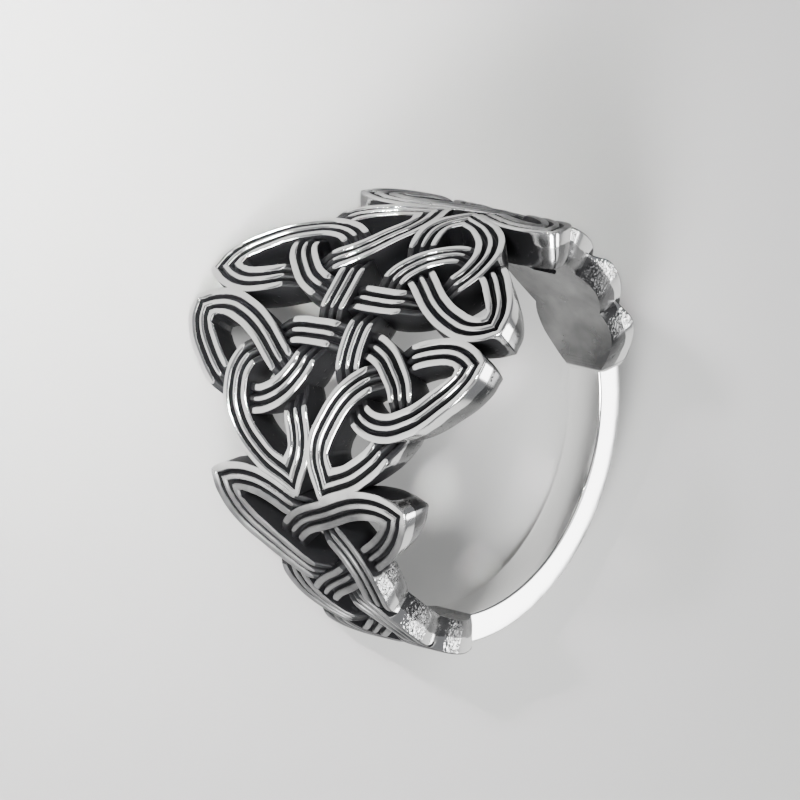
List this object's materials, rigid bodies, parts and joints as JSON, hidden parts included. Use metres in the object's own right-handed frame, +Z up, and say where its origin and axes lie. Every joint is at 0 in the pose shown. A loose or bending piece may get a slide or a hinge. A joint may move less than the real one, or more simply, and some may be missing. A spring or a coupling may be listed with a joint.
{
  "type": "celtic knot ring",
  "caption": "Cast finger ring with a pierced, interlaced knot front whose lobes run into two plaited shoulders and a plain narrow shank, lying on its side.",
  "frame": {"origin": "middle of the bounding box, on the floor that the ring lies on", "axes": "+Z up, -Y towards the knot front, +Y towards the plain back of the shank; the bore leans 23.1 degrees from +Z towards +Y"},
  "size_m": [0.0224, 0.0244, 0.0185],
  "materials": {
    "silver": "polished silver, blackened in the grooves and recesses of the knot and plait"
  },
  "bodies": {
    "root": {"knot_ring": "silver"}
  },
  "joints": []
}
